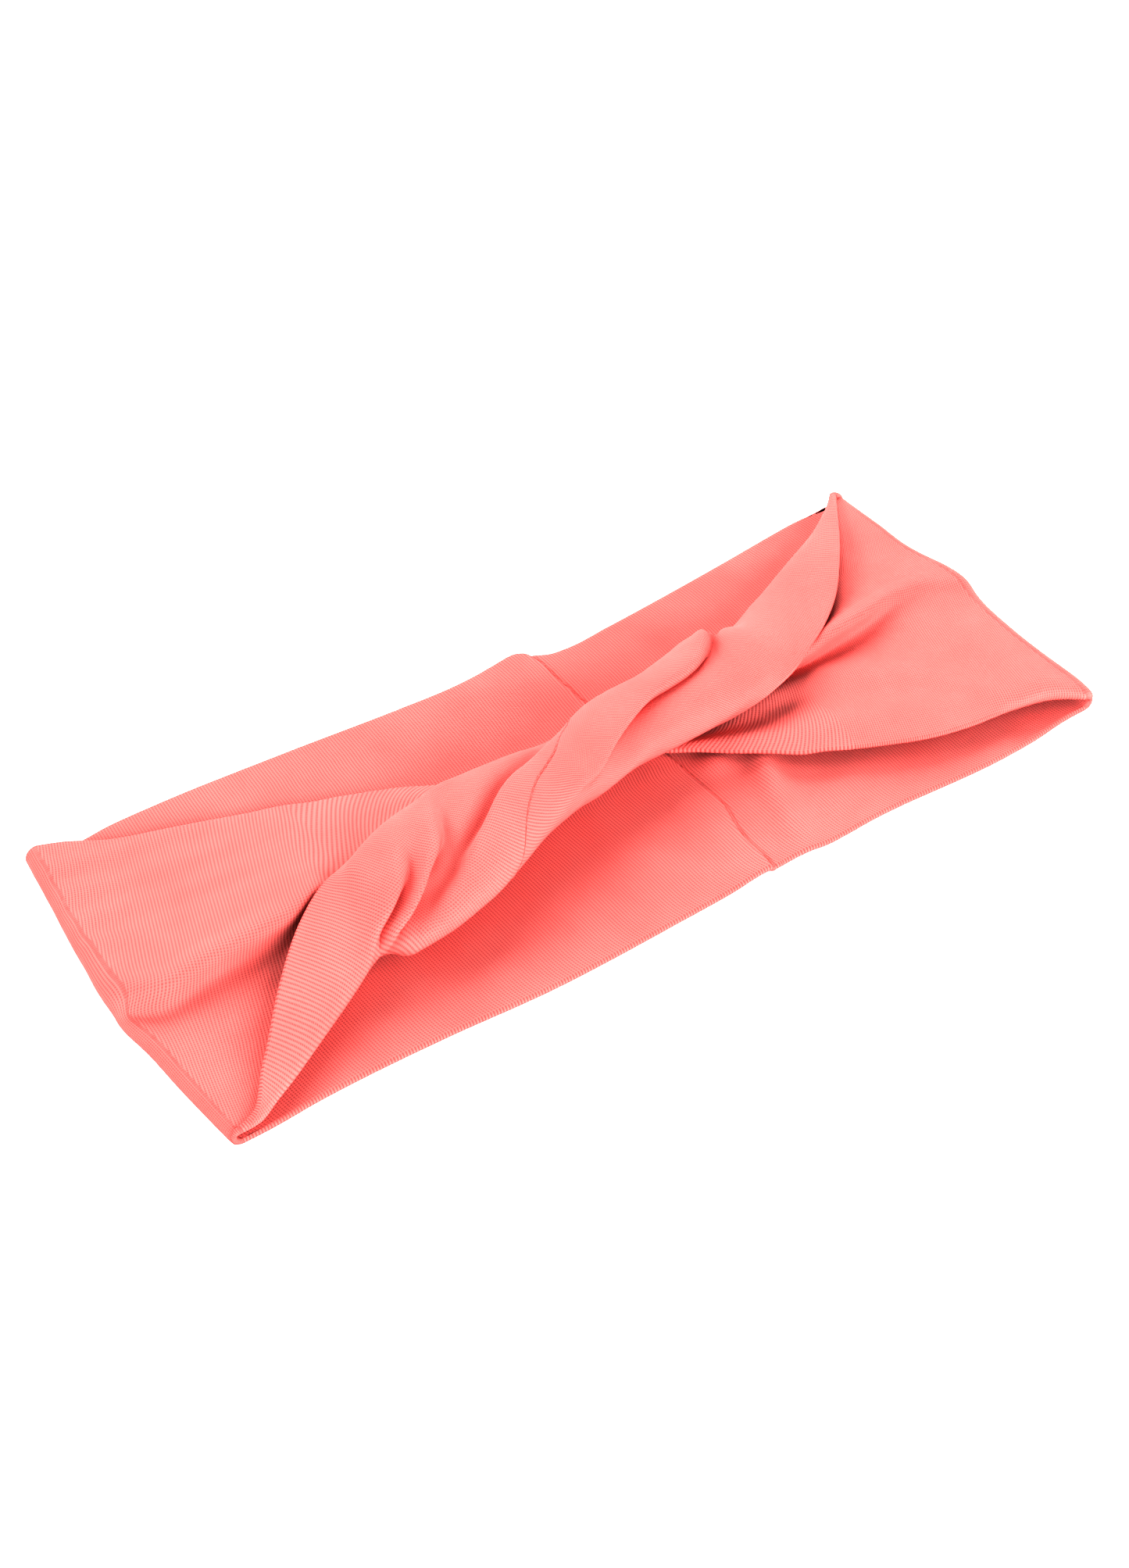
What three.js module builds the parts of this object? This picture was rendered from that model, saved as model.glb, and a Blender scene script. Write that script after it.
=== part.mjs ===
// Twisted spa headband: a tube of fine jersey, pressed flat to two plies and joined into a loop by
// one seam across the centre of the back. The front has one full turn in it.
//
// Millimetres. The loop lies flat: +X runs along it, +Y from its front edge to its back edge and +Z up.
// The origin is the middle of the loop on the surface that it lies on.
// The back is the layer underneath, the front is the twisted layer above it, and the head goes between
// them. Each layer is an outer ply, which faces away from the head, and an inner ply, which faces it.

import * as THREE from 'three';

// ---------- Driving dimensions ----------

const loopLength = 240; // the flattened loop, from one end fold to the other
const bandWidth = 98; // the tube pressed flat, from edge to edge
const ply = 0.6; // one thickness of jersey
const clearance = 0.3; // between pieces of cloth that touch
const openingHeight = 4.8; // between the back and the front while the loop lies flat
const ropeWidth = 16; // the gathered band in the middle of the twist
const twistLength = 84; // the stretch of the front that holds the full turn
const allowanceWidth = 6; // the turned-in cloth beside a seam
const threadWidth = 0.6; // a row of sewing thread
const tackLength = 2.4; // the bar of stitches that ends the back seam
const backSeamX = 21; // the back seam, from the middle of the loop as it lies

// ---------- Derived dimensions ----------

const pocket = ply + 2 * clearance; // the space inside the tube, where the seam allowances lie
const bandThickness = 2 * ply + pocket;
const innerBend = openingHeight / 2;
const outerBend = innerBend + bandThickness;
const panelEnd = loopLength / 2 - outerBend; // where the flat back stops and an end fold starts
const halfWidth = bandWidth / 2;
const seamGap = threadWidth / 2 + clearance; // from the back seam's line to the cloth beside it
const flatHeight = bandThickness + openingHeight + bandThickness / 2;
const gatheredPly = (width) => ply * bandWidth / width; // the same cloth, heaped as it gathers
const ropeRadius = Math.hypot(ropeWidth / 2, pocket / 2 + gatheredPly(ropeWidth));
const ropeHeight = bandThickness + openingHeight + ropeRadius;

// ---------- Materials ----------

const matt = (color, roughness) => () => new THREE.MeshStandardMaterial({ color, roughness, metalness: 0 });
const outerJersey = matt(0xf07f76, 0.9);
const innerJersey = matt(0xe9766e, 0.9);
const hiddenJersey = matt(0xd9665f, 0.95);
const sewingThread = matt(0xb8463f, 0.6);

function named(name, geometry, material) {
  const mesh = new THREE.Mesh(geometry, material);
  mesh.name = name;
  return mesh;
}

// ---------- The back: flat strips between a low and a high corner ----------

function strip(name, material, [x0, x1], [y0, y1], [z0, z1]) {
  const mesh = named(name, new THREE.BoxGeometry(x1 - x0, y1 - y0, z1 - z0), material);
  mesh.position.set((x0 + x1) / 2, (y0 + y1) / 2, (z0 + z1) / 2);
  return mesh;
}

const plyHeights = {
  outer: [0, ply],
  pocket: [ply + clearance, 2 * ply + clearance],
  inner: [bandThickness - ply, bandThickness],
};
const backSpans = {
  left: [-panelEnd + clearance, backSeamX - seamGap],
  right: [backSeamX + seamGap, panelEnd - clearance],
};

// One half of the back: its two plies and, between them, the turned-in edges of the two seams.
function backHalf(side) {
  const [x0, x1] = backSpans[side];
  const across = [-halfWidth, halfWidth];
  const beside = side === 'left' ? [x1 - allowanceWidth, x1] : [x0, x0 + allowanceWidth];
  const along = side === 'left' ? [x0, beside[0] - clearance] : [beside[1] + clearance, x1];
  const turnedIn = [-halfWidth + clearance, halfWidth - clearance];
  const threadStart = allowanceWidth / 2 + clearance;
  const half = new THREE.Group();
  half.add(
    strip(`back_${side}_outer_ply`, outerJersey(), [x0, x1], across, plyHeights.outer),
    strip(`back_${side}_inner_ply`, innerJersey(), [x0, x1], across, plyHeights.inner),
    strip(`back_seam_${side}_allowance`, hiddenJersey(), beside, turnedIn, plyHeights.pocket),
    strip(`back_${side}_tube_allowance`, hiddenJersey(), along,
      [-allowanceWidth / 2, allowanceWidth / 2], plyHeights.pocket),
    strip(`back_${side}_tube_thread`, sewingThread(), along,
      [threadStart, threadStart + threadWidth], plyHeights.pocket),
  );
  return half;
}

// The row of stitches across the back, and the short tack at the front edge that locks it.
function backSeam() {
  const wide = [backSeamX - threadWidth / 2, backSeamX + threadWidth / 2];
  const deep = [clearance, bandThickness];
  const tackEnd = -halfWidth + tackLength;
  const seam = new THREE.Group();
  seam.add(
    strip('back_seam_thread', sewingThread(), wide, [tackEnd + clearance, halfWidth], deep),
    strip('back_seam_tack', sewingThread(), wide, [-halfWidth, tackEnd], deep),
  );
  return seam;
}

// ---------- The end folds: half rings that carry the band from the back to the front ----------

function halfRing(innerRadius) {
  const outline = new THREE.Shape();
  outline.absarc(0, 0, innerRadius + ply, Math.PI / 2, 1.5 * Math.PI, false);
  outline.absarc(0, 0, innerRadius, 1.5 * Math.PI, Math.PI / 2, true);
  const extrusion = { depth: bandWidth, bevelEnabled: false, curveSegments: 12 };
  const geometry = new THREE.ExtrudeGeometry(outline, extrusion);
  geometry.translate(0, 0, -halfWidth);
  geometry.rotateX(Math.PI / 2);
  return geometry;
}

function endFold(side) {
  const fold = new THREE.Group();
  fold.add(
    named(`${side}_end_inner_ply`, halfRing(innerBend), innerJersey()),
    named(`${side}_end_outer_ply`, halfRing(outerBend - ply), outerJersey()),
  );
  fold.rotation.z = side === 'left' ? 0 : Math.PI;
  fold.position.set(side === 'left' ? -panelEnd : panelEnd, 0, outerBend);
  return fold;
}

// ---------- The front: layers that gather to a rope, turn once and spread out again ----------

// Where the front's middle line is at x, how wide the band is gathered and how far it has turned.
function frontAt(x) {
  const gathered = 1 - THREE.MathUtils.smoothstep(Math.abs(x), twistLength / 2, panelEnd);
  const width = THREE.MathUtils.lerp(bandWidth, ropeWidth, gathered);
  return {
    width,
    thickness: gatheredPly(width),
    height: THREE.MathUtils.lerp(flatHeight, ropeHeight, gathered),
    turn: -2 * Math.PI * THREE.MathUtils.smoothstep(x, -twistLength / 2, twistLength / 2),
  };
}

// A layer of the front. place(front, u, v) gives a corner's distance across and through the band, with
// u from -1 to 1 across the layer and v 0 at its lower face and 1 at its upper face.
function frontLayer(name, material, place, columns) {
  const steps = 96;
  const reach = panelEnd - clearance;
  const section = new THREE.Shape();
  section.moveTo(-1, 0);
  for (let i = 1; i <= columns; i += 1) section.lineTo(-1 + 2 * i / columns, 0);
  for (let i = columns; i >= 0; i -= 1) section.lineTo(-1 + 2 * i / columns, 1);
  const geometry = new THREE.ExtrudeGeometry(section, { depth: 1, steps, bevelEnabled: false });
  const position = geometry.attributes.position;
  for (let i = 0; i < position.count; i += 1) {
    const x = THREE.MathUtils.lerp(-reach, reach, position.getZ(i));
    const front = frontAt(x);
    const [across, through] = place(front, position.getX(i), position.getY(i));
    const cos = Math.cos(front.turn);
    const sin = Math.sin(front.turn);
    position.setXYZ(i, x, across * cos - through * sin, front.height + across * sin + through * cos);
  }
  geometry.computeVertexNormals();
  return named(name, geometry, material);
}

function front() {
  const plyColumns = 6;
  const halfPocket = pocket / 2;
  const threadStart = allowanceWidth / 2 + clearance;
  const outer = (at, u, v) => [u * at.width / 2, halfPocket + v * at.thickness];
  const inner = (at, u, v) => [u * at.width / 2, -halfPocket - (1 - v) * at.thickness];
  const allowance = (at, u, v) => [u * allowanceWidth / 2, (v - 0.5) * ply];
  const thread = (at, u, v) => [threadStart + (u + 1) * threadWidth / 2, (v - 0.5) * ply];
  const layers = new THREE.Group();
  layers.add(
    frontLayer('front_outer_ply', outerJersey(), outer, plyColumns),
    frontLayer('front_inner_ply', innerJersey(), inner, plyColumns),
    frontLayer('front_tube_allowance', hiddenJersey(), allowance, 1),
    frontLayer('front_tube_thread', sewingThread(), thread, 1),
  );
  return layers;
}

const headband = new THREE.Group();
headband.add(backHalf('left'), backHalf('right'), backSeam(), endFold('left'), endFold('right'), front());

export default headband;
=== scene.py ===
"""Looks for the twisted spa headband, built on its frame.

The cloth is one loop of a tube pressed flat. It is shaped by sections across the band, from its front
edge to its back edge, and a smooth surface runs through them. Lengths are millimetres until a mesh is
made. +X runs along the band, +Y from its front edge to its back edge and +Z up, as in the frame.
"""

import math

import bpy
import numpy as np
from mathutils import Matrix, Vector


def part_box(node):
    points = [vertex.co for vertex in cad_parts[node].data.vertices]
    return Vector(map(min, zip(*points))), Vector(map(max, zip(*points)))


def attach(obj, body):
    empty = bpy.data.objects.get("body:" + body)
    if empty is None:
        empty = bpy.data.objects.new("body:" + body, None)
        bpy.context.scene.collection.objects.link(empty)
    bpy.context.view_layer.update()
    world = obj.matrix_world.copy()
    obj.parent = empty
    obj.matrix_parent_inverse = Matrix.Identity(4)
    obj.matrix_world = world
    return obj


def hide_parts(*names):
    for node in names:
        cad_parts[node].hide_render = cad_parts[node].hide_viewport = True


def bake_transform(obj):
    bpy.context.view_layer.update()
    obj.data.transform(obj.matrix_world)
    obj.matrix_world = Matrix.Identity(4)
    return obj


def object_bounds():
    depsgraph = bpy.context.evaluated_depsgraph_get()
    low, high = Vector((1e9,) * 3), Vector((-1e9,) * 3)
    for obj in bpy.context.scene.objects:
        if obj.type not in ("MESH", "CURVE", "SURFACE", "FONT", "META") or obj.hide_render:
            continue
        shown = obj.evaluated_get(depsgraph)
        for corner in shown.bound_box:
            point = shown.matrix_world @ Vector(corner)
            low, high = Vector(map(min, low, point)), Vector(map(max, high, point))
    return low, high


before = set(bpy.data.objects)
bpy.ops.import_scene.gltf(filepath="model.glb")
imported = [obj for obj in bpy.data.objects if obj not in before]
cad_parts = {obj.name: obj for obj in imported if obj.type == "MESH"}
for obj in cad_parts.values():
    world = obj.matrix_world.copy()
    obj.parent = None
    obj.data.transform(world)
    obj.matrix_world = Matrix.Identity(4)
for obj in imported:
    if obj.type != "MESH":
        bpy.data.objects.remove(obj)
cad_low, cad_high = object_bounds()

# ---------- Dimensions ----------

MM = 0.001
ply_low, ply_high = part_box("back_left_outer_ply")
PLY = (ply_high.z - ply_low.z) / MM
BAND_WIDTH = (cad_high.y - cad_low.y) / MM

PLY_GAP = 0.2  # between the two plies
FLOOR_GAP = 0.05  # under the back layer
LAYER_GAP = 0.25  # between the back layer and the front layer, where they are closest
CLOTH = 2 * PLY + PLY_GAP  # the pressed tube's thickness
BACK_Z = FLOOR_GAP + CLOTH / 2  # the middle of the back layer
FRONT_LOW_Z = BACK_Z + CLOTH + LAYER_GAP  # the lowest that the middle of the front layer lies
FIRST_X, LAST_X = -115.0, 114.0  # where the front meets its end folds
FOLD_REACH = 16.0  # how far from an end fold the front's rows bend to meet it

ROW_STEP = 0.7  # along the front
ROPE_STEP = 3.0  # between the rope's sections
SECTION_POINTS = 16
COLUMNS = 160  # cells across the band
EDGE_STEPS = 4  # cells round each edge of the cloth
BEND_STEPS = 6  # cells in each quarter bend of an end fold
SOFTEN_ALONG, SOFTEN_ACROSS = 6, 3  # passes over the front's rows
SOFTEN_SIDES = 12  # passes over the cloth before its sides are worked out
TINY = 1e-9

# ---------- Curves ----------


def smooth(points, at):
    """The columns after the first of points, on smooth curves over the first column, at `at`."""
    points = np.array(points, float)
    xs, values = points[:, 0], points[:, 1:]
    slopes = np.gradient(values, xs, axis=0)
    at = np.clip(np.asarray(at, float), xs[0], xs[-1])
    i = np.clip(np.searchsorted(xs, at) - 1, 0, len(xs) - 2)
    span = (xs[i + 1] - xs[i])[..., None]
    t = (at - xs[i])[..., None] / span
    return (
        (2 * t**3 - 3 * t**2 + 1) * values[i]
        + (t**3 - 2 * t**2 + t) * span * slopes[i]
        + (-2 * t**3 + 3 * t**2) * values[i + 1]
        + (t**3 - t**2) * span * slopes[i + 1]
    )


def smoothstep(t):
    t = np.clip(t, 0, 1)
    return t * t * (3 - 2 * t)


def hump(t):
    """1 at t = 0, falling smoothly towards 0 on both sides."""
    return np.exp(-(t**2))


def distances_along(path):
    """How far each point of a path lies from its start, along it."""
    return np.concatenate([[0], np.cumsum(np.linalg.norm(np.diff(path, axis=0), axis=1))])


def follow(along, values, wanted):
    """The rows of values, which are known at the distances along, at the wanted distances."""
    return np.stack([np.interp(wanted, along, column) for column in values.T], axis=-1)


def spread_evenly(curve, count):
    along = distances_along(curve)
    return follow(along, curve, np.linspace(0, along[-1], count))


def through(points, steps=24):
    """A smooth curve through points, rounder than a plain spline where they bunch at a fold."""
    shortest = 1e-3  # keeps two points in one place apart
    gaps = np.sqrt(np.linalg.norm(np.diff(points, axis=0), axis=1)) + shortest
    knots = np.concatenate([[0], np.cumsum(gaps)])
    spans = [np.linspace(start, end, steps, endpoint=False) for start, end in zip(knots, knots[1:])]
    return smooth(np.column_stack([knots, points]), np.concatenate([*spans, knots[-1:]]))


def soften(grid, times, axis):
    """Averages neighbours along one axis, and keeps the first and last."""
    grid = np.moveaxis(grid, axis, 0).copy()
    for _ in range(times):
        grid[1:-1] = grid[1:-1] / 2 + (grid[:-2] + grid[2:]) / 4
    return np.moveaxis(grid, 0, axis)


def keep_above(z, low, sharpness=4):
    """z, with a smooth bend so that it stays above low."""
    return low + np.logaddexp(0, (z - low) * sharpness) / sharpness


# ---------- Sections of the front ----------

# Each section has 16 points from the front edge of the band to its back edge. A point keeps its meaning
# from one section to the next, so that each fold follows one point: 0 is the front edge, 3 and 5 the creases
# beside the ridge at the rope's left end, 7 the rope's left valley, 11 its right valley, 15 the back edge.

# x: the 16 points' (y, z), left of the rope and right of it
LEFT = {
    -116: [(-49.8, 4.2), (-50.2, 4.1), (-50.3, 3.9), (-49.8, 3.7), (-48, 3.7), (-45, 3.9), (-40.5, 4.2),
           (-35, 4.5), (-28, 4.8), (-20, 4.9), (-13, 4.6), (-9, 4.5), (-5.8, 8.2), (1, 7.8), (22, 5.6),
           (46.3, 5.6)],
    -108: [(-47.8, 5.9), (-49, 5.6), (-49.9, 5), (-49.8, 4.3), (-48.5, 3.8), (-46, 3.6), (-42.5, 3.6),
           (-38, 3.7), (-32, 3.8), (-25, 3.9), (-19, 3.8), (-12.5, 4.2), (-10, 9.6), (-3, 8), (21, 5.2),
           (44.3, 4.6)],
    -100: [(-39.8, 7), (-43.2, 6.8), (-46, 6), (-46.7, 5), (-45.6, 4), (-43.2, 3.5), (-40, 3.3), (-36, 3.2),
           (-31, 3.3), (-25, 3.7), (-19, 3.6), (-11, 5), (-9.2, 10.2), (-2, 8), (19, 4.6), (41, 3.6)],
    -87: [(-23.3, 8.6), (-31.5, 8.4), (-38, 7.2), (-39.2, 5.8), (-38.1, 4.2), (-36, 3.4), (-33, 3.1),
          (-29.5, 3), (-25.5, 3), (-21, 3.3), (-17, 4), (-10, 5.6), (-8.8, 10.8), (-1, 8.6), (17, 4.8),
          (36.6, 3.3)],
    -77: [(-12.8, 10), (-22.5, 10.3), (-31.6, 8.6), (-33.1, 6.8), (-32.4, 4.8), (-31, 3.8), (-28.6, 3.2),
          (-25.6, 3), (-22.2, 3), (-18.8, 3.4), (-15.5, 5), (-9.6, 6.6), (-7.8, 10.9), (-1, 9.2), (14, 5.6),
          (33.1, 3.3)],
    -67: [(-6.2, 11.9), (-15.5, 12.9), (-25.7, 10.6), (-27, 8.6), (-26.8, 6.8), (-26.2, 5.6), (-25.2, 4.6),
          (-23.6, 3.9), (-21, 3.4), (-17.6, 3.4), (-13.5, 5), (-8.2, 6.6), (-6, 10.2), (0, 9.4),
          (12.5, 6.6), (29.7, 3.5)],
}
RIGHT = {
    58: [(-30.3, 5.6), (-23, 8.2), (-13, 6.5), (-7, 7.2), (-1.7, 5), (-2.2, 9), (2.5, 7.2), (6.5, 4.6),
         (10, 3.5), (14.5, 4), (15.8, 8), (11.5, 13), (7.5, 15.5), (2, 16.6), (-4, 15.6), (-8.2, 13.2)],
    67: [(-34.4, 5.6), (-27, 7.8), (-17.5, 6.6), (-8, 7), (-1.2, 4.8), (-1.5, 9.6), (4, 7), (8.5, 4.4),
         (13, 3.3), (18.5, 4), (20.4, 7.2), (17.6, 11), (13.5, 13.3), (8, 14.1), (2.5, 13.5), (-2.4, 11.8)],
    77: [(-38.3, 5.6), (-31, 7), (-23, 6), (-13.5, 7), (0.4, 4.2), (0.6, 9.8), (6, 6.8), (11, 4.4),
         (16, 3.4), (22, 3.6), (25.6, 5), (25.2, 7.4), (22, 9.4), (17, 10.4), (11, 10.4), (4.4, 9.8)],
    87: [(-40.4, 5.6), (-34, 6.4), (-27, 6), (-20.5, 6.6), (1.4, 4.6), (2.2, 9.5), (8, 6.4), (13.5, 4.2),
         (19, 3.4), (26, 3.3), (30.8, 4.2), (31.3, 5.6), (29, 7.4), (24.5, 8.5), (19, 8.7), (13, 8.4)],
    100: [(-41.2, 4.9), (-41.5, 6.3), (-38.5, 7.4), (-28, 6.2), (2.2, 6.4), (4.5, 8.8), (10, 6.2),
          (16, 4.6), (22, 3.8), (29, 3.4), (36.4, 3.9), (38.2, 5), (37.2, 6.2), (35, 7), (32, 7.2),
          (28.5, 7.2)],
    108: [(-43.3, 4.6), (-43.5, 6.6), (-40, 8), (-28, 6.4), (0, 6.6), (4, 8.2), (10, 6.4), (16, 5),
          (22, 4.2), (29, 3.8), (38, 4), (43.5, 4.6), (43.6, 5.4), (42.5, 6), (41, 6.2), (39, 6.2)],
    114: [(-47.4, 4.2), (-47.7, 5.4), (-44, 6.6), (-30, 5.6), (-4, 6.6), (0, 7.8), (8, 6.8), (15, 5.6),
          (22, 4.9), (30, 4.4), (40, 4), (47.5, 4.1), (48.6, 4.3), (48.8, 4.7), (48.2, 5), (47.2, 5.2)],
}

# The rope's middle line and half sizes: x, y, z, half width, half height
ROPE_AXIS = [(-60, -17, 9.6, 15, 7.3), (-48, -15, 10.3, 15.3, 7.9), (-34, -11, 11.4, 15.2, 8.4),
             (-24, -8.6, 11.7, 12.9, 8.2), (-10, -5.8, 11.1, 10.2, 7), (0, -4.2, 11.2, 9.6, 7),
             (9, -1.9, 11.8, 9.9, 7.2), (18, -0.3, 11.5, 10.4, 7.3), (28, 0.6, 10.9, 10.7, 7.3),
             (40, 1.8, 10.7, 11.4, 7.5), (52, 3.3, 11, 12.8, 7.8)]

# x: the 16 points' angles round the rope, from its top towards the front, and their share of its radius
ROPE = {
    -60: ([-78, -40, 28, 26, 52, 62, 74, 84, 92, 102, 116, 180, 225, 263, 259.5, 254.5],
          [0.95, 1, 0.98, 0.56, 0.92, 0.68, 0.8, 0.93, 0.94, 0.95, 0.97, 0.77, 0.66, 0.87, 1.8, 3.08]),
    -57: ([-82, -48, 19, 18, 45, 43, 58, 72, 84, 98, 112, 176, 222, 262, 258, 254],
          [1, 1.05, 1, 0.56, 0.98, 0.58, 0.66, 0.8, 0.92, 0.94, 0.96, 0.78, 0.66, 0.86, 1.79, 2.93]),
    -54: ([-85, -54, 8, 11, 37, 33, 50, 66, 78, 92, 110, 172, 218, 260, 257, 253.5],
          [1.02, 1.09, 1, 0.56, 1, 0.54, 0.58, 0.74, 0.94, 0.95, 0.96, 0.8, 0.67, 0.85, 1.78, 2.78]),
    -52: ([-86, -58, -6, 4, 32, 27, 45, 63, 74, 90, 109, 170, 216, 259, 256.5, 253],
          [1.02, 1.11, 1.04, 0.6, 1.02, 0.54, 0.56, 0.66, 0.94, 0.96, 0.97, 0.81, 0.67, 0.84, 1.77, 2.72]),
    -50: ([-87, -62, -22, -2, 25, 20, 40, 62, 67, 86, 107, 168, 214, 258, 256, 252.5],
          [1.03, 1.12, 1.07, 0.7, 1.02, 0.54, 0.52, 0.6, 0.93, 0.97, 0.98, 0.82, 0.67, 0.83, 1.77, 2.65]),
    -48: ([-88, -66, -32, -8, 18, 12, 34, 61, 60, 82, 105, 165, 212, 257, 255.5, 252],
          [1.03, 1.12, 1.06, 0.88, 1.01, 0.55, 0.52, 0.58, 0.94, 0.99, 0.99, 0.84, 0.67, 0.82, 1.76, 2.58]),
    -45: ([-90, -70, -40, -18, 11, 5, 28, 60, 56, 78, 102, 160, 208, 256, 254.5, 250.5],
          [1.02, 1.1, 1.05, 0.98, 1.01, 0.56, 0.53, 0.57, 0.96, 1.01, 1, 0.87, 0.68, 0.8, 1.66, 2.45]),
    -42: ([-93, -77, -52, -28, 1, -5, 22, 55, 48, 72, 99, 155, 205, 254, 253.5, 249],
          [1.01, 1.07, 1.04, 1.02, 1.01, 0.58, 0.55, 0.57, 0.97, 1.02, 1.01, 0.89, 0.69, 0.79, 1.55, 2.33]),
    -39: ([-97, -86, -68, -50, -24, -28, 12, 46, 39, 65, 95, 148, 200, 250, 252, 247],
          [1, 1.03, 1.03, 1.02, 1, 0.68, 0.58, 0.58, 0.98, 1.04, 1.03, 0.92, 0.7, 0.77, 1.46, 2.2]),
    -36: ([-102, -93, -82, -68, -52, -48, 2, 40, 32, 58, 92, 140, 194, 244, 250, 245.5],
          [0.98, 0.99, 1, 1.02, 1.02, 0.8, 0.66, 0.59, 0.98, 1.05, 1.05, 0.95, 0.74, 0.76, 1.37, 2.09]),
    -30: ([-108, -99, -90, -80, -70, -60, -14, 29, 21, 48, 82, 122, 176, 225, 245, 242],
          [0.96, 0.98, 1, 1.02, 1.04, 0.94, 0.78, 0.62, 0.99, 1.06, 1.07, 1, 0.84, 0.76, 1.24, 1.92]),
    -24: ([-118, -108, -99, -91, -84, -76, -34, 15, 7, 40, 74, 106, 152, 207, 237, 239.5],
          [0.96, 0.98, 0.99, 1, 1.02, 1.03, 0.9, 0.64, 0.99, 1.05, 1.05, 1.02, 0.93, 0.88, 1.16, 1.77]),
    -18: ([-128, -117, -108, -100, -92, -84, -46, 3, -5, 30, 68, 96, 134, 184, 222, 232.5],
          [0.96, 0.98, 0.99, 1, 1, 1.01, 0.97, 0.66, 0.99, 1.04, 1.04, 1, 0.95, 0.92, 1.07, 1.5]),
    -12: ([-140, -129, -120, -111, -103, -94, -57, -4, -12, 22, 62, 86, 116, 160, 200, 222],
          [0.95, 0.97, 0.98, 0.99, 1, 0.99, 0.97, 0.68, 0.99, 1.04, 1.04, 0.99, 0.97, 0.95, 0.97, 1.2]),
    -6: ([-152, -140, -130, -121, -112, -103, -70, -19, -26, 12, 58, 72, 98, 138, 180, 202],
         [0.95, 0.97, 0.98, 0.99, 0.98, 0.96, 0.88, 0.7, 0.96, 1.02, 1.04, 0.97, 0.97, 0.97, 0.95, 0.95]),
    0: ([-164, -151, -140, -130, -121, -112, -84, -50, -54, 2, 63, 62, 80, 120, 160, 188],
        [0.97, 0.98, 0.99, 0.99, 0.98, 0.95, 0.88, 0.74, 0.9, 1.02, 1.03, 0.76, 0.9, 1, 0.97, 0.84]),
    6: ([-174, -160, -148, -138, -129, -119, -96, -74, -68, -12, 44, 38, 60, 104, 146, 178],
        [1, 1, 1, 1, 0.99, 0.98, 0.94, 0.85, 0.95, 1.02, 1.04, 0.64, 0.78, 1.02, 0.97, 0.82]),
    12: ([-180, -170, -160, -150, -141, -131, -108, -86, -76, -26, 29, 22, 43, 88, 130, 170],
         [1.02, 1.02, 1.01, 1, 0.99, 0.98, 0.96, 0.9, 0.98, 1.02, 1.04, 0.56, 0.72, 1.02, 0.98, 0.86]),
    18: ([-192, -183, -175, -166, -157, -146, -122, -97, -84, -37, 16, 9, 30, 74, 118, 161],
         [1.03, 1.03, 1.02, 1.02, 1, 0.98, 0.95, 0.9, 0.93, 0.98, 1.04, 0.55, 0.7, 0.98, 1, 0.88]),
    24: ([-213, -205, -199, -192, -184, -174, -160, -141, -92, -46, 5, -2, 17, 62, 106, 150],
         [1.18, 1.16, 1.13, 1.09, 1.07, 1.06, 1.04, 1.01, 0.92, 0.93, 1.04, 0.54, 0.7, 0.98, 1.02, 0.92]),
    30: ([-228.5, -228, -216.5, -205, -196, -184, -165.5, -146, -98, -54, 2, -5, 10, 54, 99, 139],
         [1.39, 1.22, 1.21, 1.16, 1.09, 1.04, 0.99, 0.94, 0.95, 0.98, 1.03, 0.54, 0.7, 0.98, 1.02, 0.96]),
    36: ([-242.5, -243.5, -227, -212, -204, -195, -177, -154, -104, -63, -2, -10, 4, 46, 92, 128],
         [1.74, 1.43, 1.28, 1.17, 1.09, 1.02, 0.96, 0.95, 0.98, 1.03, 1.03, 0.55, 0.7, 1.01, 1.02, 0.98]),
    42: ([-249.5, -253, -235, -222.5, -210.5, -203, -177, -152, -108, -74, -18, -26, -8, 36, 80, 111],
         [2.07, 1.68, 1.33, 1.03, 1.03, 0.89, 0.89, 0.92, 1, 1.09, 1.06, 0.58, 0.64, 0.98, 1.02, 0.98]),
    46: ([-251.5, -255, -237, -228, -213, -212, -182, -159, -114, -88, -40, -48, -16, 30, 72, 101],
         [2.28, 1.82, 1.35, 0.98, 0.98, 0.75, 0.79, 0.91, 0.97, 1.04, 1.12, 0.58, 0.64, 0.94, 1.02, 0.98]),
    49: ([-253, -256.5, -238.5, -231.5, -216, -217, -185.5, -164, -124, -104, -76, -78, -42, 22, 63, 94],
         [2.43, 1.93, 1.31, 0.96, 0.94, 0.66, 0.72, 0.9, 0.93, 0.96, 1, 0.62, 0.74, 0.92, 1, 0.98]),
    52: ([-254.5, -258, -240, -235, -219, -224, -190, -170, -132, -118, -102, -92, -58, 10, 54, 86],
         [2.49, 2, 1.31, 0.94, 0.9, 0.58, 0.65, 0.88, 0.9, 0.92, 0.9, 0.68, 0.78, 0.9, 0.97, 0.98]),
}


def rope_sections():
    """The rope's stations and their sections, with the angles followed smoothly from one to the next."""
    table = [[x, *angles, *shares] for x, (angles, shares) in ROPE.items()]
    xs = np.unique([*np.arange(min(ROPE), max(ROPE), ROPE_STEP), *ROPE])
    values = smooth(table, xs)
    angles, shares = np.radians(values[:, :SECTION_POINTS]), values[:, SECTION_POINTS:]
    middle_y, middle_z, half_width, half_height = smooth(ROPE_AXIS, xs).T[..., None]
    y = middle_y - shares * half_width * np.sin(angles)
    z = middle_z + shares * half_height * np.cos(angles)
    return xs, np.stack([y, z], axis=2)


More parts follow.
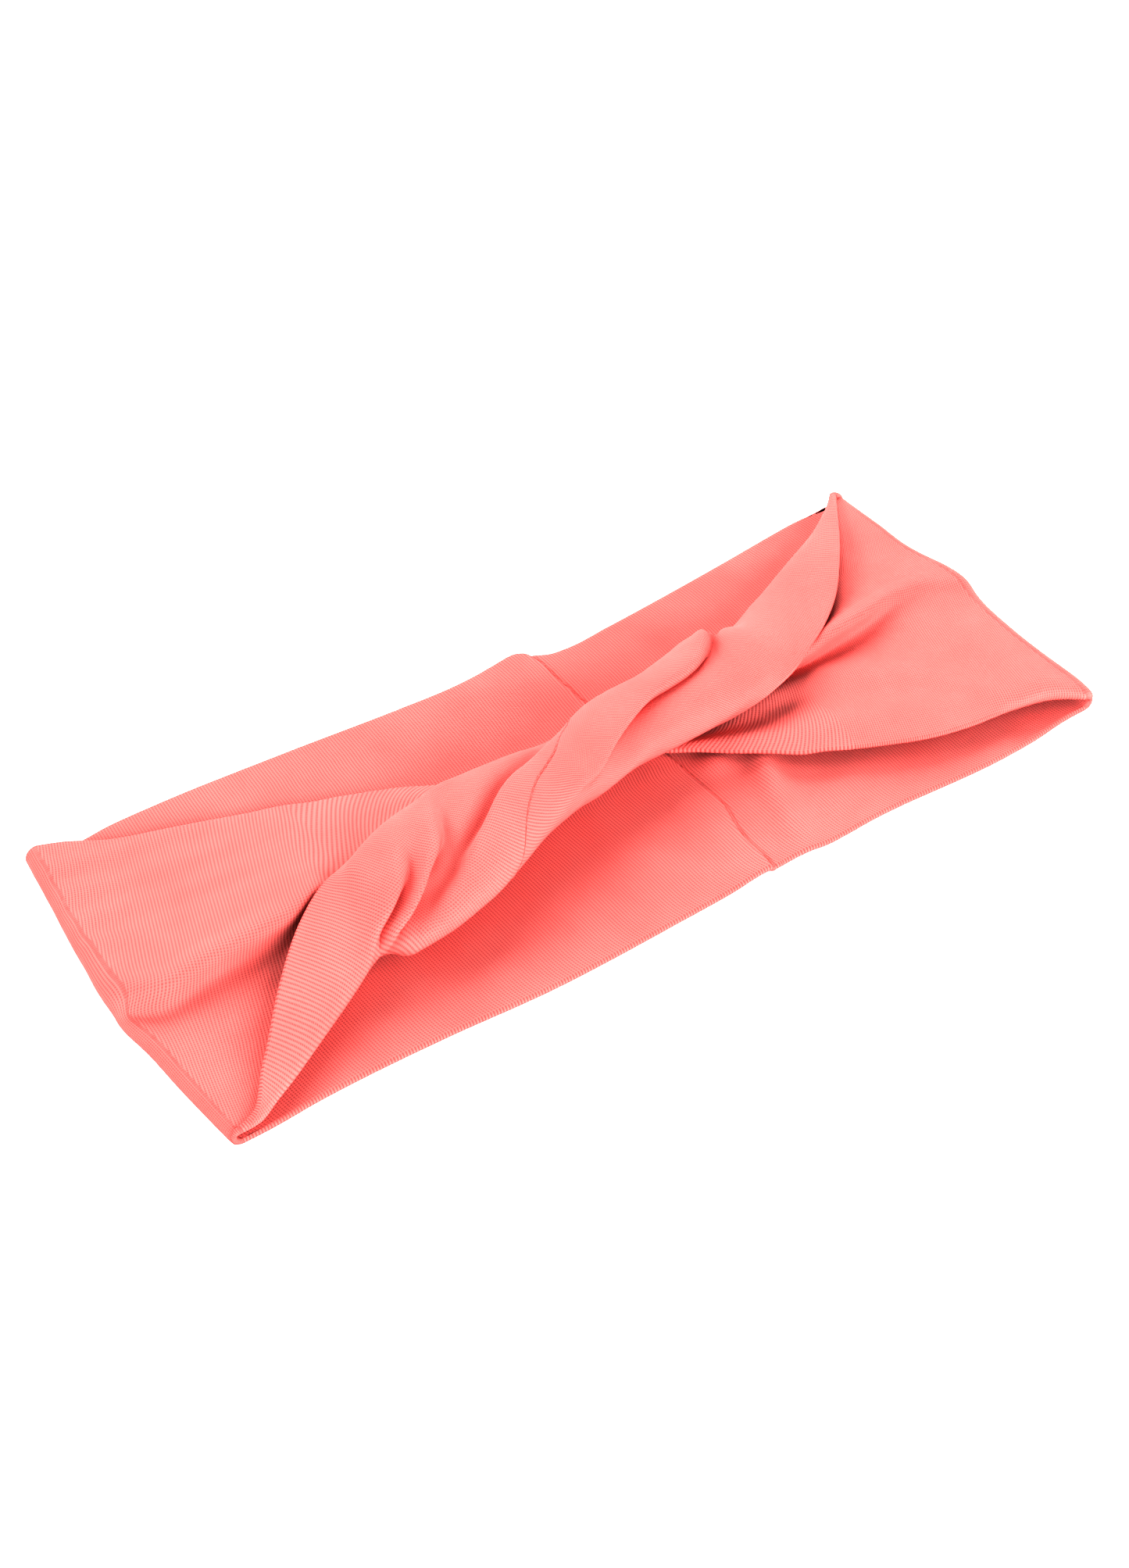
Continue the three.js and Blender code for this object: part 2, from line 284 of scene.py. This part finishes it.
def front_sections(xs):
    """The section at each x: an array of rows x 16 points x (y, z)."""
    stations = [[x, *np.ravel(LEFT[x])] for x in LEFT]
    stations += [[x, *section.ravel()] for x, section in zip(*rope_sections())]
    stations += [[x, *np.ravel(RIGHT[x])] for x in RIGHT]
    return smooth(stations, xs).reshape(len(xs), SECTION_POINTS, 2)


# ---------- The whole loop's middle surface ----------

# Where each end fold's outermost line is: y, x
LEFT_FOLD = [(-50, -113.5), (-41, -115), (-31, -116.5), (-19, -118), (-11, -119.5), (-5, -120), (1, -120),
             (8, -119.5), (17, -119), (30, -118), (47, -117)]
RIGHT_FOLD = [(-49, 119.3), (-42, 119), (-33, 118.8), (-20, 118.3), (-7, 118.6), (1, 119.8), (7, 119.6),
              (13, 118.6), (20, 117.4), (33, 117), (42, 116.4), (50, 115.8)]
# The back layer's edges: x, y
BACK_FRONT_EDGE = [(-116, -50), (-86, -48.6), (-62, -49), (-38, -50.3), (0, -49.4), (23, -48.4),
                   (28, -48.2), (38, -48.8), (53, -48.2), (89, -49.4), (116, -47.8)]
BACK_BACK_EDGE = [(-116, 46.5), (-106, 46), (-97, 47), (-85, 47.2), (-53, 45.8), (-20, 43.6), (-1, 42.8),
                  (8, 43.6), (13, 43.6), (16, 42), (20, 40), (25, 39.4), (38, 40.4), (69, 43.6), (96, 47),
                  (116, 49.3)]
# The back seam: y, x
BACK_SEAM = [(-50, 23.5), (-44, 24), (-39, 23.6), (-34, 24.2), (-26, 25.8), (-18, 25.3), (-12, 24.8),
             (-4, 24), (6, 21.5), (20, 17.8), (27, 17.2), (32, 16.7), (38, 16.6), (42, 15.6), (45, 14.8)]

# Soft bumps in the back layer: x, y, reach along and across them, turn in degrees, height
BACK_BUMPS = [(42, -20, 12, 3.4, 68, 2.2), (36, -40, 12, 4, 75, 1), (32, -14, 4.5, 4, 0, 1.4),
              (3, 36, 9, 12, 80, 1), (48, -38, 14, 5, 20, 0.5)]

# The cloth to the left of the back seam lies on the turned-in allowances, and the seam pulls a groove
STEP_HEIGHT = 0.9
STEP_WIDTH = 1.4
STEP_REACH = 3.0
STEP_FADE = 6.0
GROOVE_DEPTH = 0.35
GROOVE_WIDTH = 0.7

# The back has finer cells in a stretch round its seam
SEAM_X = max(x for y, x in BACK_SEAM)
SEAM_STRETCH = (-0.06, 0.03)  # its ends, as shares of the back's length from the seam
BACK_CELLS = (89, 59, 74)  # to the left of the stretch, in it and to its right
BACK_END = 0.08  # the share of the back at each end where its rows change to meet an end fold

# Soft waves in the left panel, and the part of it that has them
WAVE_HEIGHT = 0.22
WAVE_PERIOD = 9.5
WAVE_LEAN = 0.15
WAVE_LAST_X, WAVE_FADE_X = -66.0, 16.0
WAVE_FIRST_Y, WAVE_FADE_IN = 2.0, 10.0
WAVE_LAST_Y, WAVE_FADE_OUT = 45.0, 8.0


def panel_waves(x, y):
    """How far the waves lift the left panel at x, y."""
    left = smoothstep((WAVE_LAST_X - x) / WAVE_FADE_X)
    behind = smoothstep((y - WAVE_FIRST_Y) / WAVE_FADE_IN)
    before = smoothstep((WAVE_LAST_Y - y) / WAVE_FADE_OUT)
    waves = np.sin(2 * math.pi * (y + WAVE_LEAN * x) / WAVE_PERIOD)
    return WAVE_HEIGHT * waves * left * behind * before


def front_rows():
    """Rows across the front's middle surface, from its left end to its right end."""
    xs = np.linspace(FIRST_X, LAST_X, int((LAST_X - FIRST_X) / ROW_STEP) + 1)
    rows = np.array([spread_evenly(through(section), COLUMNS + 1) for section in front_sections(xs)])
    rows = soften(rows, SOFTEN_ALONG, axis=0)
    rows = soften(rows, SOFTEN_ACROSS, axis=1)
    x = np.repeat(xs[:, None], COLUMNS + 1, axis=1)
    y = rows[..., 0]
    z = keep_above(rows[..., 1] + panel_waves(x, y), FRONT_LOW_Z)
    for fold, end, inward in ((LEFT_FOLD, 0, 1), (RIGHT_FOLD, -1, -1)):
        radius = (z[end] - BACK_Z) / 2
        wanted = smooth(fold, y[end])[:, 0] + inward * (CLOTH / 2 + radius)
        near = smoothstep(1 - np.abs(xs - xs[end]) / FOLD_REACH)[:, None]
        x += near * (wanted - xs[end])
    return np.stack([x, y, z], axis=2)


def end_fold(row, outward):
    """Two quarter bends from a row of the front down to the back layer, without the row itself."""
    radius = (row[:, 2] - BACK_Z) / 2
    bend = []
    for step in range(1, 2 * BEND_STEPS + 1):
        angle = math.pi / 2 * step / BEND_STEPS
        bent = row.copy()
        bent[:, 0] += outward * radius * math.sin(angle)
        bent[:, 2] -= radius * (1 - math.cos(angle))
        bend.append(bent)
    return np.array(bend)


def back_bump(x, y, middle_x, middle_y, along, across, turn, height):
    cos, sin = math.cos(math.radians(turn)), math.sin(math.radians(turn))
    u = (x - middle_x) * cos + (y - middle_y) * sin
    v = (y - middle_y) * cos - (x - middle_x) * sin
    return height * hump(u / along) * hump(v / across)


def back_relief(x, y):
    """How far the back layer rises at x, y: its seam's step and groove, and its bumps."""
    beside = x - smooth(BACK_SEAM, y)[..., 0]
    step = smoothstep(0.5 - beside / STEP_WIDTH) * hump(np.minimum(beside + STEP_REACH, 0) / STEP_FADE)
    relief = STEP_HEIGHT * step - GROOVE_DEPTH * hump(beside / GROOVE_WIDTH)
    for bump in BACK_BUMPS:
        relief += back_bump(x, y, *bump)
    return relief


def back_rows(left_row, right_row):
    """Rows across the back's middle surface, from its right end to its left end."""
    seam_share = (SEAM_X - FIRST_X) / (LAST_X - FIRST_X)
    marks = [0, seam_share + SEAM_STRETCH[0], seam_share + SEAM_STRETCH[1], 1]
    stretches = [np.linspace(start, end, cells, endpoint=False)
                 for start, end, cells in zip(marks, marks[1:], BACK_CELLS)]
    share = np.concatenate([*stretches, marks[-1:]])[::-1, None]
    x = left_row[:, 0] + share * (right_row[:, 0] - left_row[:, 0])
    low, high = smooth(BACK_FRONT_EDGE, x)[..., 0], smooth(BACK_BACK_EDGE, x)[..., 0]
    y = low + np.linspace(0, 1, COLUMNS + 1) * (high - low)
    ends = np.where(share > 0.5, right_row[:, 1], left_row[:, 1])
    y += smoothstep((np.abs(share - 0.5) - 0.5 + BACK_END) / BACK_END) * (ends - y)
    return np.stack([x, y, BACK_Z + back_relief(x, y)], axis=2)


front = front_rows()
right_bend = end_fold(front[-1], 1)
left_bend = end_fold(front[0], -1)[::-1]
back = back_rows(left_bend[0], right_bend[-1])
loop = np.concatenate([front, right_bend, back[1:-1], left_bend])

# Rows of the loop
MIDDLE_ROW = int(np.argmin(np.abs(front[:, 0, 0])))
FRONT_ROWS = len(front)
RIGHT_END_ROW = FRONT_ROWS - 1 + BEND_STEPS
LEFT_END_ROW = len(loop) - BEND_STEPS
BACK = slice(FRONT_ROWS - 1 + 2 * BEND_STEPS, len(loop) - 2 * BEND_STEPS)

# ---------- The cloth's surface ----------


def unit(vectors):
    return vectors / np.linalg.norm(vectors, axis=-1, keepdims=True)


def steps_along(grid):
    """From the row before each row to the row after it, round the loop."""
    return np.roll(grid, -1, axis=0) - np.roll(grid, 1, axis=0)


def rounded_edge(middle, side, outward):
    """Columns of points round an edge of the cloth, between the side given and the other side."""
    angles = math.pi * np.arange(1, EDGE_STEPS) / EDGE_STEPS
    return [(middle + CLOTH / 2 * (side * math.cos(a) + outward * math.sin(a)))[:, None] for a in angles]


def shell_of(grid):
    """The surface round a middle surface, each row a closed ring of points, and its normals."""
    softened = soften(grid, SOFTEN_SIDES, axis=1)
    side = unit(np.cross(steps_along(softened), np.gradient(softened, axis=1)))
    along = steps_along(grid)
    past_back_edge = unit(np.cross(side[:, -1], along[:, -1]))
    past_front_edge = unit(np.cross(along[:, 0], side[:, 0]))
    outer_side = grid + side * CLOTH / 2
    inner_side = grid - side * CLOTH / 2
    shell = np.concatenate([
        outer_side,
        *rounded_edge(grid[:, -1], side[:, -1], past_back_edge),
        inner_side[:, ::-1],
        *rounded_edge(grid[:, 0], -side[:, 0], past_front_edge),
    ], axis=1)
    around = np.roll(shell, -1, axis=1) - np.roll(shell, 1, axis=1)
    return shell, unit(np.cross(steps_along(shell), around))


shell, shell_normals = shell_of(loop)

# Places in a ring: its number of points, and the cloth's inner side, from the back edge to the front
RING = shell.shape[1]
INNER_START = COLUMNS + EDGE_STEPS
INNER_END = INNER_START + COLUMNS
INNER = slice(INNER_START, INNER_END + 1)

# ---------- Ribs and seams ----------

# How close together the front's ribs are: x, ribs against the back's
RIB_DENSITY = [(-110, 1.12), (-85, 0.98), (0, 1.25), (60, 1.4)]
# How far the front's ribs lean, along the band against across it: x, front strand, panel, back strand
RIB_LEAN = [(-110, 0.3, 0.25, 0.25), (-60, 0.42, 0.28, 0.28), (0, 0.7, 0.7, 0.7), (60, 0.22, 0.22, 0.6)]
# The share of the band where the panel lies, between the strands
PANEL = (0.25, 0.7)

# The tube seam where it shows on the rope: x, angle round the rope
TUBE_SEAM = [(-27, 80), (-25, 64), (-21, 42), (-16.5, 25), (-11.4, 11), (-7.2, 3), (-3.3, -19), (5, -59)]
TUBE_SEAM_BAND = (0.3, 0.75)  # the share of the band where it is looked for
TUBE_SEAM_STRIDE = 6  # rows between the points that its smooth path goes through
FAR_FROM_SEAMS = 50.0


def ring_shares():
    """How far across the band, from 0 to 1, each point of a ring is."""
    across = np.linspace(0, 1, COLUMNS + 1)
    return np.concatenate([across, np.ones(EDGE_STEPS - 1), across[::-1], np.zeros(EDGE_STEPS - 1)])


def rib_fields():
    """Knit coordinates at each point of the shell: across the ribs and along them."""
    shares = ring_shares()
    strand_to_strand = np.stack([
        np.minimum(shares - PANEL[0], 0),
        np.clip(shares, *PANEL) - 0.5,
        np.maximum(shares - PANEL[1], 0),
    ])
    x = front[..., 0].mean(axis=1)
    density = np.interp(x, *zip(*RIB_DENSITY))
    stations, *leans = zip(*RIB_LEAN)
    lean = np.stack([np.interp(x, stations, column) for column in leans], axis=1)
    steps = np.diff(x) * (density[1:] + density[:-1]) / 2
    along = x[0] + np.concatenate([[0], np.cumsum(steps)])
    front_ribs = along[:, None] - density[:, None] * (lean @ strand_to_strand) * BAND_WIDTH
    other_ribs = distances_along(loop[FRONT_ROWS:, COLUMNS // 2])
    ribs = np.concatenate([front_ribs, np.repeat(other_ribs[:, None], RING, axis=1)])
    return ribs, np.tile(shares * BAND_WIDTH, (len(loop), 1))


def tube_seam_shares():
    """How far across the band, from 0 to 1, the tube seam runs in each row of the front."""
    xs = front[:, 0, 0]
    across = np.linspace(0, 1, COLUMNS + 1)
    searched = (across > TUBE_SEAM_BAND[0]) & (across < TUBE_SEAM_BAND[1])
    shown = []
    for row, x in zip(front, xs):
        if TUBE_SEAM[0][0] <= x <= TUBE_SEAM[-1][0]:
            middle_y, middle_z, half_width, half_height = smooth(ROPE_AXIS, x)
            forward = (middle_y - row[:, 1]) / half_width
            upward = (row[:, 2] - middle_z) / half_height
            angles = np.unwrap(np.arctan2(forward, upward))
            wanted = math.radians(smooth(TUBE_SEAM, x)[0])
            shown.append((x, np.interp(wanted, angles[searched], across[searched])))
    path = [(FIRST_X, 0.5), *shown[::TUBE_SEAM_STRIDE], (LAST_X, 0.5)]
    return smooth(path, xs)[:, 0]


def seam_distances():
    """Each shell point's distance from the nearest seam."""
    distances = np.full(shell.shape[:2], FAR_FROM_SEAMS)
    across = np.linspace(0, 1, COLUMNS + 1)
    lengths = np.linalg.norm(np.diff(front, axis=1), axis=2).sum(axis=1)
    from_tube_seam = np.abs(across - seam_shares[:, None]) * lengths[:, None]
    distances[:FRONT_ROWS, INNER] = from_tube_seam[:, ::-1]
    distances[BACK] = np.abs(shell[BACK][..., 0] - smooth(BACK_SEAM, shell[BACK][..., 1])[..., 0])
    return distances


rib, course = rib_fields()
seam_shares = tube_seam_shares()
seam_distance = seam_distances()

# ---------- Cloth ----------


def add_mesh(name, vertices, faces):
    """A smoothly shaded object, from vertices in millimetres."""
    mesh = bpy.data.meshes.new(name)
    mesh.from_pydata((np.asarray(vertices) * MM).tolist(), [], faces)
    mesh.update()
    mesh.polygons.foreach_set("use_smooth", [True] * len(mesh.polygons))
    piece = bpy.data.objects.new(name, mesh)
    bpy.context.collection.objects.link(piece)
    return piece


def cap_faces():
    """Faces that close a ring: quads between its two sides, and a polygon in each edge."""
    quads = [(a, a + 1, INNER_END - a - 1, INNER_END - a) for a in range(COLUMNS)]
    back_edge = tuple(range(COLUMNS, INNER_START + 1))
    front_edge = (*range(INNER_END, RING), 0)
    return [*quads, back_edge, front_edge]


def cloth_piece(name, rows):
    """A closed mesh of some rows of the shell, with a flat cap at each end."""
    points = np.arange(len(rows) * RING).reshape(len(rows), RING)
    beside = np.roll(points, -1, axis=1)
    faces = np.stack([points[:-1], points[1:], beside[1:], beside[:-1]], axis=2).reshape(-1, 4).tolist()
    faces += [points[0, list(face)].tolist() for face in cap_faces()]
    faces += [points[-1, list(face[::-1])].tolist() for face in cap_faces()]
    piece = add_mesh(name, shell[rows].reshape(-1, 3), faces)
    for attribute, values in (("rib", rib), ("course", course), ("seam", seam_distance)):
        layer = piece.data.attributes.new(attribute, "FLOAT", "POINT")
        layer.data.foreach_set("value", values[rows].ravel().astype(np.float32) * MM)
    piece.data.normals_split_custom_set_from_vertices(shell_normals[rows].reshape(-1, 3).tolist())
    return piece


front_left = cloth_piece("front_left_cloth", np.r_[LEFT_END_ROW : len(loop), 0 : MIDDLE_ROW + 1])
front_right = cloth_piece("front_right_cloth", np.r_[MIDDLE_ROW : RIGHT_END_ROW + 1])
back_cloth = cloth_piece("back_cloth", np.r_[RIGHT_END_ROW : LEFT_END_ROW + 1])

# ---------- Thread ----------

STITCH_RINGS = 7
STITCH_SIDES = 8
STITCH_LIFT = 0.05  # of a stitch's middle above the cloth
BLUNT = 0.04  # keeps a stitch's ends from closing to a point
LOOK_AHEAD = 0.2  # along a path, to find its direction


def stitches(name, path, normals, length=1.7, step=2.2, radius=0.12):
    """A row of short rounded stitches along a path, half sunk in the cloth."""
    along = distances_along(path)
    t = np.linspace(-1, 1, STITCH_RINGS)
    thickness = (radius * np.sqrt(np.maximum(1 - t**4, BLUNT)))[:, None, None]
    lift = (STITCH_LIFT - radius / 2 * t**2)[:, None]
    angles = np.linspace(0, 2 * math.pi, STITCH_SIDES, endpoint=False)[:, None]
    vertices, faces = [], []
    for centre in np.arange(step / 2, along[-1] - step / 2, step):
        wanted = centre + t * length / 2
        places = follow(along, path, wanted)
        up = follow(along, normals, wanted)
        ahead = follow(along, path, wanted + LOOK_AHEAD) - places
        ahead /= np.linalg.norm(ahead, axis=1, keepdims=True) + TINY
        side = np.cross(up, ahead)[:, None]
        turned = side * np.cos(angles) + up[:, None] * np.sin(angles)
        rings = (places + lift * up)[:, None] + thickness * turned
        corners = len(vertices) + np.arange(STITCH_RINGS * STITCH_SIDES).reshape(STITCH_RINGS, STITCH_SIDES)
        beside = np.roll(corners, -1, axis=1)
        walls = np.stack([corners[:-1], beside[:-1], beside[1:], corners[1:]], axis=2)
        faces += walls.reshape(-1, 4).tolist()
        faces += [corners[0, ::-1].tolist(), corners[-1].tolist()]
        vertices.extend(rings.reshape(-1, 3))
    return add_mesh(name, vertices, faces)


def back_seam_line(first_y, last_y, points, shift=0.0):
    """Points on the back layer's upper surface along its seam, and their normals."""
    surface = shell[BACK, INNER].reshape(-1, 3)
    normals = shell_normals[BACK, INNER].reshape(-1, 3)
    y = np.linspace(first_y, last_y, points)
    x = smooth(BACK_SEAM, y)[:, 0] + shift
    nearest = [int(np.argmin((surface[:, 0] - a) ** 2 + (surface[:, 1] - b) ** 2)) for a, b in zip(x, y)]
    return np.column_stack([x, y, surface[nearest, 2]]), normals[nearest]


def tube_seam_line(stride=2, margin=12):
    """Points on the front's inner side along the tube seam, and their normals."""
    rows = np.arange(margin, FRONT_ROWS - margin, stride)
    column = np.round(seam_shares[rows] * COLUMNS).astype(int)
    past = seam_shares[rows] * COLUMNS - column
    ring = INNER_END - column
    beside = ring - np.sign(past).astype(int)
    weight = np.abs(past)[:, None]
    return shell[rows, ring] * (1 - weight) + shell[rows, beside] * weight, shell_normals[rows, ring]


back_line = back_seam_line(first_y=-46.5, last_y=42.5, points=120)
back_stitches = stitches("back_seam_stitches", *back_line)
tack_line = back_seam_line(first_y=-48.4, last_y=-45.2, points=12, shift=0.25)
tack = stitches("back_seam_tack_thread", *tack_line, length=1.2, step=0.7, radius=0.24)

seam_places, seam_normals = tube_seam_line()
on_left = seam_places[:, 0] <= 0
left_stitches = stitches("tube_seam_left_stitches", seam_places[on_left], seam_normals[on_left], step=2.0)
right_stitches = stitches("tube_seam_right_stitches", seam_places[~on_left], seam_normals[~on_left], step=2.0)

# ---------- Materials, in metres ----------

CORAL = (0.71, 0.242, 0.226)
THREAD_RED = (0.74, 0.15, 0.13)
SHEEN_RED = (0.9, 0.3, 0.27, 1)
RIB_PERIOD = 0.00074
COURSE_PERIOD = 0.0006
SEAM_LINE = 0.00035  # from a seam to the end of its dark line
GAP_SHARPNESS = 1.7
HOLE_DARKNESS, SEAM_DARKNESS = 0.6, 0.7
COURSE_DEPTH = 0.8  # the share of a gap's depth that comes and goes with the stitches
GAP_TINT = (0.55, 0.25)
PATCH_TINTS = (0.88, 1.12)
STRAND_TINT = 0.75
SEAM_DEPTH = 2.0  # against a stitch hole's
FUZZ_HEIGHT = 0.35  # against a stitch hole's depth
HOLE_DEPTH = 0.0002
STRAND_DEPTH = 0.00005
BUMP_STRENGTH = 0.5
FUZZ_SCALE = 900
PATCH_SCALE = 60
THREAD_SCALE = 2500
COLOUR_A, COLOUR_B, COLOUR_RESULT = 6, 7, 2  # the colour sockets of a mix node


def new_material(name, settings):
    """A material, its node tree and its shader, with the settings that are the same all over."""
    material = bpy.data.materials.new(name)
    material.use_nodes = True
    shader = material.node_tree.nodes["Principled BSDF"]
    for socket, value in settings.items():
        shader.inputs[socket].default_value = value
    return material, material.node_tree, shader


def connect(tree, value, socket):
    """Links another node's output to a socket, or sets the socket to a plain value."""
    if isinstance(value, bpy.types.NodeSocket):
        tree.links.new(value, socket)
    else:
        socket.default_value = value


def calculate(tree, operation, *values):
    node = tree.nodes.new("ShaderNodeMath")
    node.operation = operation
    for value, socket in zip(values, node.inputs):
        connect(tree, value, socket)
    return node.outputs[0]


def attribute(tree, name):
    node = tree.nodes.new("ShaderNodeAttribute")
    node.attribute_name = name
    return node.outputs["Fac"]


def wave(tree, value, period):
    """From 0 to 1 and back in each period of value, and 1 at 0."""
    cosine = calculate(tree, "COSINE", calculate(tree, "MULTIPLY", value, 2 * math.pi / period))
    return calculate(tree, "MULTIPLY_ADD", cosine, 0.5, 0.5)


def noise(tree, scale):
    coordinates = tree.nodes.new("ShaderNodeTexCoord")
    node = tree.nodes.new("ShaderNodeTexNoise")
    node.inputs["Scale"].default_value = scale
    tree.links.new(coordinates.outputs["Object"], node.inputs["Vector"])
    return node.outputs["Fac"]


def mix_colours(tree, share, first, second):
    node = tree.nodes.new("ShaderNodeMix")
    node.data_type = "RGBA"
    connect(tree, share, node.inputs["Factor"])
    connect(tree, first, node.inputs[COLOUR_A])
    connect(tree, second, node.inputs[COLOUR_B])
    return node.outputs[COLOUR_RESULT]


def tinted(colour, red, others):
    """A colour with its red scaled by one number and its green and blue by another."""
    return (colour[0] * red, colour[1] * others, colour[2] * others, 1)


def bump(tree, shader, height, distance):
    node = tree.nodes.new("ShaderNodeBump")
    node.inputs["Strength"].default_value = BUMP_STRENGTH
    node.inputs["Distance"].default_value = distance
    tree.links.new(height, node.inputs["Height"])
    tree.links.new(node.outputs["Normal"], shader.inputs["Normal"])


def jersey(name, colour):
    """Fine ribbed jersey: gaps between its ribs, deeper at each stitch, seams, fuzz and soft patches."""
    material, tree, shader = new_material(name, {
        "Roughness": 0.85,
        "Specular IOR Level": 0.05,
        "Sheen Weight": 0.05,
        "Sheen Tint": SHEEN_RED,
        "Sheen Roughness": 0.5,
    })
    between_ribs = calculate(tree, "SUBTRACT", 1.0, wave(tree, attribute(tree, "rib"), RIB_PERIOD))
    gap = calculate(tree, "POWER", between_ribs, GAP_SHARPNESS)
    loops = wave(tree, attribute(tree, "course"), COURSE_PERIOD)
    depth = calculate(tree, "MULTIPLY_ADD", loops, COURSE_DEPTH, 1 - COURSE_DEPTH)
    hole = calculate(tree, "MULTIPLY", gap, depth)
    from_seam = calculate(tree, "DIVIDE", attribute(tree, "seam"), SEAM_LINE)
    seam = calculate(tree, "SUBTRACT", 1.0, from_seam)
    seam.node.use_clamp = True

    first, second = [tinted(colour, 1, tint) for tint in PATCH_TINTS]
    patches = mix_colours(tree, noise(tree, PATCH_SCALE), first, second)
    hole_tone = calculate(tree, "MULTIPLY", hole, HOLE_DARKNESS)
    seam_tone = calculate(tree, "MULTIPLY", seam, SEAM_DARKNESS)
    dark = calculate(tree, "MAXIMUM", hole_tone, seam_tone)
    toned = mix_colours(tree, dark, patches, tinted(colour, *GAP_TINT))
    tree.links.new(toned, shader.inputs["Base Color"])

    fuzz = calculate(tree, "MULTIPLY", noise(tree, FUZZ_SCALE), FUZZ_HEIGHT)
    dent = calculate(tree, "MAXIMUM", hole, calculate(tree, "MULTIPLY", seam, SEAM_DEPTH))
    bump(tree, shader, calculate(tree, "SUBTRACT", fuzz, dent), HOLE_DEPTH)
    return material


def thread(name, colour):
    """Sewing thread with a fine uneven twist."""
    material, tree, shader = new_material(name, {"Roughness": 0.55, "Sheen Weight": 0.3})
    strands = noise(tree, THREAD_SCALE)
    darker = tinted(colour, STRAND_TINT, STRAND_TINT)
    uneven = mix_colours(tree, strands, darker, tinted(colour, 1, 1))
    tree.links.new(uneven, shader.inputs["Base Color"])
    bump(tree, shader, strands, STRAND_DEPTH)
    return material


jersey_material = jersey("outer_jersey", CORAL)
for piece in (front_left, front_right, back_cloth):
    piece.data.materials.append(jersey_material)

thread_material = thread("sewing_thread", THREAD_RED)
for piece in (back_stitches, tack, left_stitches, right_stitches):
    piece.data.materials.append(thread_material)

# ---------- Bodies ----------

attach(back_cloth, "back")
for piece, start in ((front_left, cad_low.x), (front_right, cad_high.x)):
    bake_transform(piece)
for piece, start in ((left_stitches, cad_low.x), (right_stitches, cad_high.x)):
    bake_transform(piece)
for piece in (back_stitches, tack):
    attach(piece, "back")

sewn_nodes = ("back_seam_thread", "back_seam_tack")
cloth_nodes = [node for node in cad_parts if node.startswith(("back", "left_end", "right_end"))]
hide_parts(*[node for node in cloth_nodes if node not in sewn_nodes])
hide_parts("back_seam_thread")
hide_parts("back_seam_tack")
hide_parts("front_outer_ply", "front_tube_allowance")
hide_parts("front_inner_ply")
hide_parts("front_tube_thread")

# ---------- Camera, floor and light ----------

EYE = (-0.20645, -0.33978, 0.39866)  # metres
EYE_TURN = (44.96, 1.4, -32.56)  # degrees
SENSOR = 36
LENS = 55.06

FLOOR_RADIUS = 950
FLOOR_SIDES = 96
FLOOR_WHITE = (0.93, 0.93, 0.93, 1)

# Name, place in metres, size and power
LIGHTS = [
    ("key", (-0.75, 0.65, 0.6), 0.7, 15),
    ("back", (0.55, 0.85, 0.6), 0.7, 25),
    ("side", (-1.0, -0.1, 0.6), 0.7, 3),
    ("front", (0.0, -1.05, 0.45), 0.8, 24),
    ("front_right", (0.95, -0.6, 0.5), 0.6, 6),
]

# The room's strength up to one height of view and from another, as the Z of a unit direction
WALLS, WALL_STRENGTH = 0.15, 1.0
CEILING, CEILING_STRENGTH = 0.45, 0.25


def camera():
    """Looks down at the band from its front left."""
    data = bpy.data.cameras.new("camera")
    data.sensor_fit = "VERTICAL"
    data.sensor_height = SENSOR
    data.lens = LENS
    obj = bpy.data.objects.new("camera", data)
    obj.location = EYE
    obj.rotation_euler = [math.radians(angle) for angle in EYE_TURN]
    bpy.context.collection.objects.link(obj)
    bpy.context.scene.camera = obj


def floor():
    """A plain round floor under the band."""
    angles = np.linspace(0, 2 * math.pi, FLOOR_SIDES, endpoint=False)
    rim = [(FLOOR_RADIUS * math.cos(a), FLOOR_RADIUS * math.sin(a), 0) for a in angles]
    obj = add_mesh("floor", rim, [range(FLOOR_SIDES)])
    material = new_material("floor", {"Base Color": FLOOR_WHITE, "Roughness": 0.9})[0]
    obj.data.materials.append(material)


def area_light(name, place, size, power):
    """A round soft light that faces the middle of the band."""
    data = bpy.data.lights.new(name, "AREA")
    data.shape = "DISK"
    data.size = size
    data.energy = power
    obj = bpy.data.objects.new(name, data)
    obj.location = place
    obj.rotation_euler = (-Vector(place)).to_track_quat("-Z", "Y").to_euler()
    bpy.context.collection.objects.link(obj)


def white_room():
    """Bright walls round the horizon and a dim ceiling."""
    world = bpy.data.worlds.new("room")
    world.use_nodes = True
    nodes, links = world.node_tree.nodes, world.node_tree.links
    direction = nodes.new("ShaderNodeTexCoord")
    parts = nodes.new("ShaderNodeSeparateXYZ")
    links.new(direction.outputs["Generated"], parts.inputs["Vector"])
    fade = nodes.new("ShaderNodeMapRange")
    fade.inputs["From Min"].default_value = WALLS
    fade.inputs["From Max"].default_value = CEILING
    fade.inputs["To Min"].default_value = WALL_STRENGTH
    fade.inputs["To Max"].default_value = CEILING_STRENGTH
    links.new(parts.outputs["Z"], fade.inputs["Value"])
    links.new(fade.outputs["Result"], nodes["Background"].inputs["Strength"])
    nodes["Background"].inputs["Color"].default_value = (1, 1, 1, 1)
    bpy.context.scene.world = world


camera()
floor()
for light in LIGHTS:
    area_light(*light)
white_room()

view_settings = bpy.context.scene.view_settings
view_settings.view_transform = "Standard"
view_settings.look = "None"
view_settings.exposure = 0.0
view_settings.gamma = 0.55
